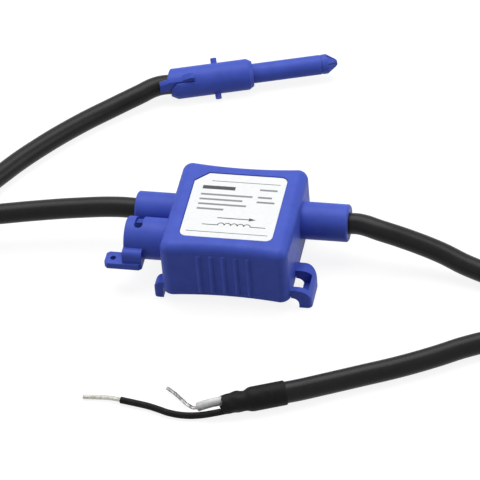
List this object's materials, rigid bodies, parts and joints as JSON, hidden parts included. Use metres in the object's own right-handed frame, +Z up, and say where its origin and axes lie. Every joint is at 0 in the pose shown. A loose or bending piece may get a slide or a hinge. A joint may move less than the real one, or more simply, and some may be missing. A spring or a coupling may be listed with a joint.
{
  "type": "flexible coil current sensor",
  "caption": "Flexible-loop current sensor: a moulded clasp with a bayonet socket, a coil cable ending in a locking plug, and an output lead with stripped wires.",
  "frame": {"origin": "on the floor, under the middle of the clasp's box without the cables", "axes": "+X along the tubes towards the output lead, +Y towards the plug's side, +Z up out of the label"},
  "size_m": [0.3304, 0.1589, 0.0212],
  "materials": {
    "blue_plastic": "fine satin moulding",
    "label_film": "matt printed film",
    "resin": "cast",
    "cable_jacket": "smooth satin jacket",
    "brass": "crimped",
    "tinned_wire": "tinned strands",
    "core_insulation": "milky insulation",
    "tie_plastic": "moulded strap",
    "shrink_sleeve": "shrunk sleeve"
  },
  "bodies": {
    "sensor": {"housing_shell": "blue_plastic", "base_cover": "blue_plastic", "label": "label_film", "potting": "resin", "coil_fixed_end": "cable_jacket", "coil_end_ferrule": "brass", "coil_wire_start": "tinned_wire", "coil_wire_return": "tinned_wire", "splice_start": "brass", "splice_return": "brass", "lead_core_inner": "core_insulation", "lead_screen_inner": "cable_jacket", "lead_inner_end": "cable_jacket", "lead_clamp": "brass", "coil_cable": "cable_jacket", "plug_core": "blue_plastic", "lead_near": "cable_jacket", "lead_coil": "cable_jacket", "lead_tie": "tie_plastic", "lead_far": "cable_jacket", "heat_shrink": "shrink_sleeve", "screen_tail": "shrink_sleeve", "screen_strands": "tinned_wire", "core_wire": "core_insulation", "core_strands": "tinned_wire"},
    "collar": {"locking_collar": "blue_plastic"}
  },
  "joints": [
    {"name": "collar_turn", "type": "hinge", "parent": "sensor", "child": "collar", "pos_m": [-0.033, 0.0726, 0.0048], "axis": [-0.9521, -0.3057, 0], "range_deg": [0, 70]}
  ]
}
